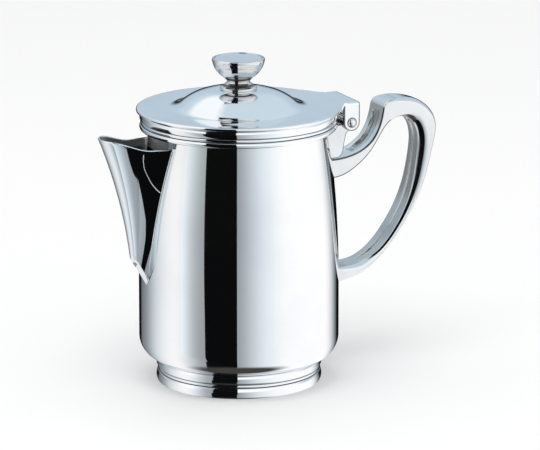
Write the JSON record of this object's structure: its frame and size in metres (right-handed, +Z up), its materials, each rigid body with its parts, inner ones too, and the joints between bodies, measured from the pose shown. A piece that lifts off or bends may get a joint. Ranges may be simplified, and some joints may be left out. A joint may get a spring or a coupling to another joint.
{
  "type": "coffee pot",
  "caption": "Polished steel coffee pot with a beak spout, banded foot and rim, cast ear-shaped handle and a hinged domed lid with a cup-shaped knob, for serving hot drinks.",
  "frame": {"origin": "centre of the foot's underside, on the body's axis", "axes": "+Z up along the body's axis, +X towards the handle and the lid hinge, so the spout points to -X; the hinge pin lies along Y"},
  "size_m": [0.1666, 0.0936, 0.1508],
  "materials": {
    "polished_steel": "mirror-polished stainless steel",
    "body_steel": "mirror-polished stainless steel outside, satin inside",
    "cast_steel": "polished cast stainless steel",
    "plain_steel": "plain machined steel"
  },
  "bodies": {
    "pot": {"body_shell": "body_steel", "foot_ring": "polished_steel", "rim_collar": "polished_steel", "spout": "polished_steel", "handle": "cast_steel", "hinge_post": "cast_steel", "hinge_pin": "polished_steel"},
    "lid": {"lid_cover": "polished_steel", "hinge_strap": "polished_steel", "knob": "polished_steel", "knob_cap": "polished_steel", "knob_washer": "plain_steel", "knob_screw": "plain_steel"}
  },
  "joints": [
    {"name": "lid_hinge", "type": "hinge", "parent": "pot", "child": "lid", "pos_m": [0.0509, 0, 0.1185], "axis": [0, 1, 0], "range_deg": [0, 100]}
  ]
}
